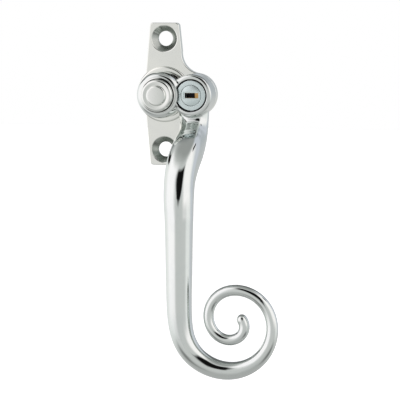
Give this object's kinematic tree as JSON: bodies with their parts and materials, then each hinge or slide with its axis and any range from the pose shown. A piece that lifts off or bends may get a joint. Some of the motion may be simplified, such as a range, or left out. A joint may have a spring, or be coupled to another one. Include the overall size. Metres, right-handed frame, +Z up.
{
  "type": "locking casement window fastener",
  "caption": "Right-hand locking casement window handle in polished metal: back plate with countersunk holes, capped hub, key lock and a cranked lever ending in a curl.",
  "frame": {"origin": "on the spindle's axis, in the plane of the sash face (the back of the back plate)", "axes": "+X to the right seen from the room, +Y into the sash, +Z up; the room side faces -Y"},
  "size_m": [0.0615, 0.0594, 0.1332],
  "materials": {
    "chrome_plate": "polished chrome on cast zinc",
    "chrome_lever": "polished chrome on cast zinc",
    "chrome_cap": "polished chrome, turned steps",
    "satin_barrel": "satin nickel plate, fine grain",
    "satin_plug": "satin nickel plate, fine grain",
    "brass_wafer": "stamped brass",
    "spring_steel": "bright spring steel",
    "zinc_steel": "bright zinc-plated steel",
    "black_steel": "hardened, blackened steel",
    "white_nylon": "natural nylon"
  },
  "bodies": {
    "mount": {"back_plate": "chrome_plate", "friction_washer": "white_nylon"},
    "handle": {"lever": "chrome_lever", "hub_cap": "chrome_cap", "spindle": "zinc_steel", "spindle_screw": "zinc_steel", "wave_washer": "spring_steel", "thrust_washer": "zinc_steel", "spindle_circlip": "spring_steel", "lock_barrel": "satin_barrel", "barrel_pin": "spring_steel"},
    "key_plug": {"lock_plug": "satin_plug", "wafer_1": "brass_wafer", "wafer_2": "brass_wafer", "wafer_3": "brass_wafer", "wafer_spring_1": "spring_steel", "wafer_spring_2": "spring_steel", "wafer_spring_3": "spring_steel", "lock_cam": "zinc_steel", "cam_screw": "zinc_steel"},
    "bolt": {"lock_bolt": "black_steel"}
  },
  "joints": [
    {"name": "lever_turn", "type": "hinge", "parent": "mount", "child": "handle", "pos_m": [0, 0, 0], "axis": [0, -1, 0], "range_deg": [0, 90]},
    {"name": "key_turn", "type": "hinge", "parent": "handle", "child": "key_plug", "pos_m": [0.0126, 0, 0], "axis": [0, 1, 0], "range_deg": [0, 90]},
    {"name": "bolt_throw", "type": "slide", "parent": "handle", "child": "bolt", "axis": [0, 1, 0], "range_m": [0, 0.0017]}
  ],
  "couplings": [
    {"joint": "bolt_throw", "follows": "key_turn", "m_per_rad": 0.001082}
  ]
}
